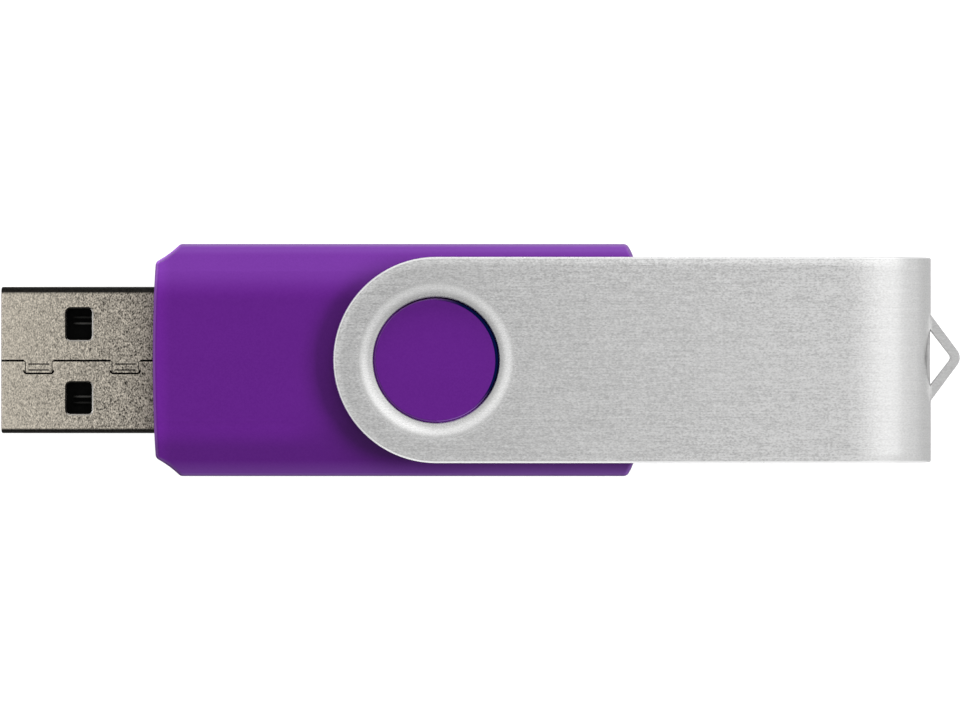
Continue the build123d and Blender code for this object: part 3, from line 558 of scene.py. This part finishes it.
def build_floor():
    mesh = bpy.data.meshes.new("floor")
    bm = bmesh.new()
    angles = [2 * math.pi * k / FLOOR_SIDES for k in range(FLOOR_SIDES)]
    bm.faces.new([
        bm.verts.new((FLOOR_RADIUS * math.cos(a), FLOOR_RADIUS * math.sin(a), 0)) for a in angles
    ])
    bm.to_mesh(mesh)
    bm.free()
    floor = bpy.data.objects.new("floor", mesh)
    floor.location = (pivot.x, 0, cover_lo.z - FLOOR_DROP)
    scene.collection.objects.link(floor)
    floor_white()
    mesh.materials.append(materials["floor_white"])


build_floor()

# ------------------------------------------------------------------ studio light
TENT = 1.0
KEY_PANEL = 0.36
KEY_DIRECTION = (0.50, 0.50, 0.707)
RIGHT_WALL = 0.31
LEAN_X = -0.02  # change of brightness towards +X
LEAN_Y = 0.22  # and towards +Y
# light tent, darker straight overhead, brightest part-way down, dimmer again towards
# the horizon: (height of the direction, brightness)
TENT_STOPS = [
    (0.0, 0.50), (0.30, 0.58), (0.50, 0.72), (0.64, 1.02), (0.76, 1.16),
    (0.87, 1.18), (0.94, 0.98), (0.98, 0.66), (1.0, 0.56),
]


def tent_brightness(height):
    node = add_node(height.socket.id_data, "ShaderNodeValToRGB", {"Fac": height})
    elements = node.color_ramp.elements
    while len(elements) < len(TENT_STOPS):
        elements.new(0.5)
    for element, (position, level) in zip(elements, TENT_STOPS):
        element.position = position
        element.color = grey(level)
    return Value(node.outputs["Color"])


def build_world():
    world = bpy.data.worlds.new("studio")
    scene.world = world
    world.use_nodes = True
    tree = world.node_tree
    tree.nodes.clear()
    direction = output(tree, "ShaderNodeTexCoord", out="Generated").vector("NORMALIZE")
    x, y, z = direction.split()
    level = tent_brightness(z) * (x * LEAN_X + y * LEAN_Y).affine(gain=1.0, base=1.0)
    # brighter panel up and to the far right
    toward = direction.vector("DOT_PRODUCT", KEY_DIRECTION, out="Value")
    level = level + toward.ease(over=(0.80, 0.98)) * KEY_PANEL
    right_wall = x.ease(over=(0.45, 0.85)) * z.ease(over=(0.60, 0.40))
    level = level + right_wall * RIGHT_WALL
    # the backdrop itself is plain white
    seen = output(tree, "ShaderNodeLightPath", out="Is Camera Ray")
    background = output(tree, "ShaderNodeBackground", {"Strength": (level * TENT).max(seen)})
    add_node(tree, "ShaderNodeOutputWorld", {"Surface": background})


def area(name, location, size, power, glossy=True, diffuse=True):
    """A rectangular light aimed at the foot of the pivot's axis."""
    light = bpy.data.lights.new(name, "AREA")
    light.shape = "RECTANGLE"
    light.size, light.size_y = size
    light.energy = power
    lamp = bpy.data.objects.new(name, light)
    lamp.location = location
    aim = Vector((pivot.x, 0, 0)) - Vector(location)
    lamp.rotation_euler = aim.to_track_quat("-Z", "Y").to_euler()
    lamp.visible_glossy = glossy
    lamp.visible_diffuse = diffuse
    scene.collection.objects.link(lamp)


build_world()
# low soft strips along the far side and the right; they shape the matt plastic only
area("strip_far", (pivot.x, 1.0, 0.13), size=(1.2, 0.12), power=42.0, glossy=False)
area("strip_right", (pivot.x + 0.82, 0.1, 0.54), size=(0.5, 0.35), power=18.0, glossy=False)
# thin edge lights seen only as glints on the rounded long edges
area("glint_far", (pivot.x, 1.0, 0.16), size=(1.2, 0.16), power=0.7, diffuse=False)
area("glint_near", (pivot.x, -1.0, 0.16), size=(1.2, 0.16), power=0.7, diffuse=False)

# ------------------------------------------------------------------ camera
CAMERA_HEIGHT = 0.5
CAMERA_OFFSET_X = 0.00357  # from the pivot
FRAME_WIDTH = 0.07895  # width seen at z = 0
SENSOR_WIDTH = 36.0  # mm

cam_data = bpy.data.cameras.new("camera")
cam_data.sensor_width = SENSOR_WIDTH
cam_data.sensor_fit = "HORIZONTAL"
cam_data.lens = SENSOR_WIDTH * CAMERA_HEIGHT / FRAME_WIDTH
cam_data.clip_start = 0.01
cam_data.clip_end = 10
cam = bpy.data.objects.new("camera", cam_data)
cam.location = (pivot.x + CAMERA_OFFSET_X, 0.0, CAMERA_HEIGHT)
scene.collection.objects.link(cam)
scene.camera = cam

scene.view_settings.view_transform = "Standard"
scene.view_settings.look = "None"
scene.view_settings.exposure = 0.0
scene.view_settings.gamma = 1.0
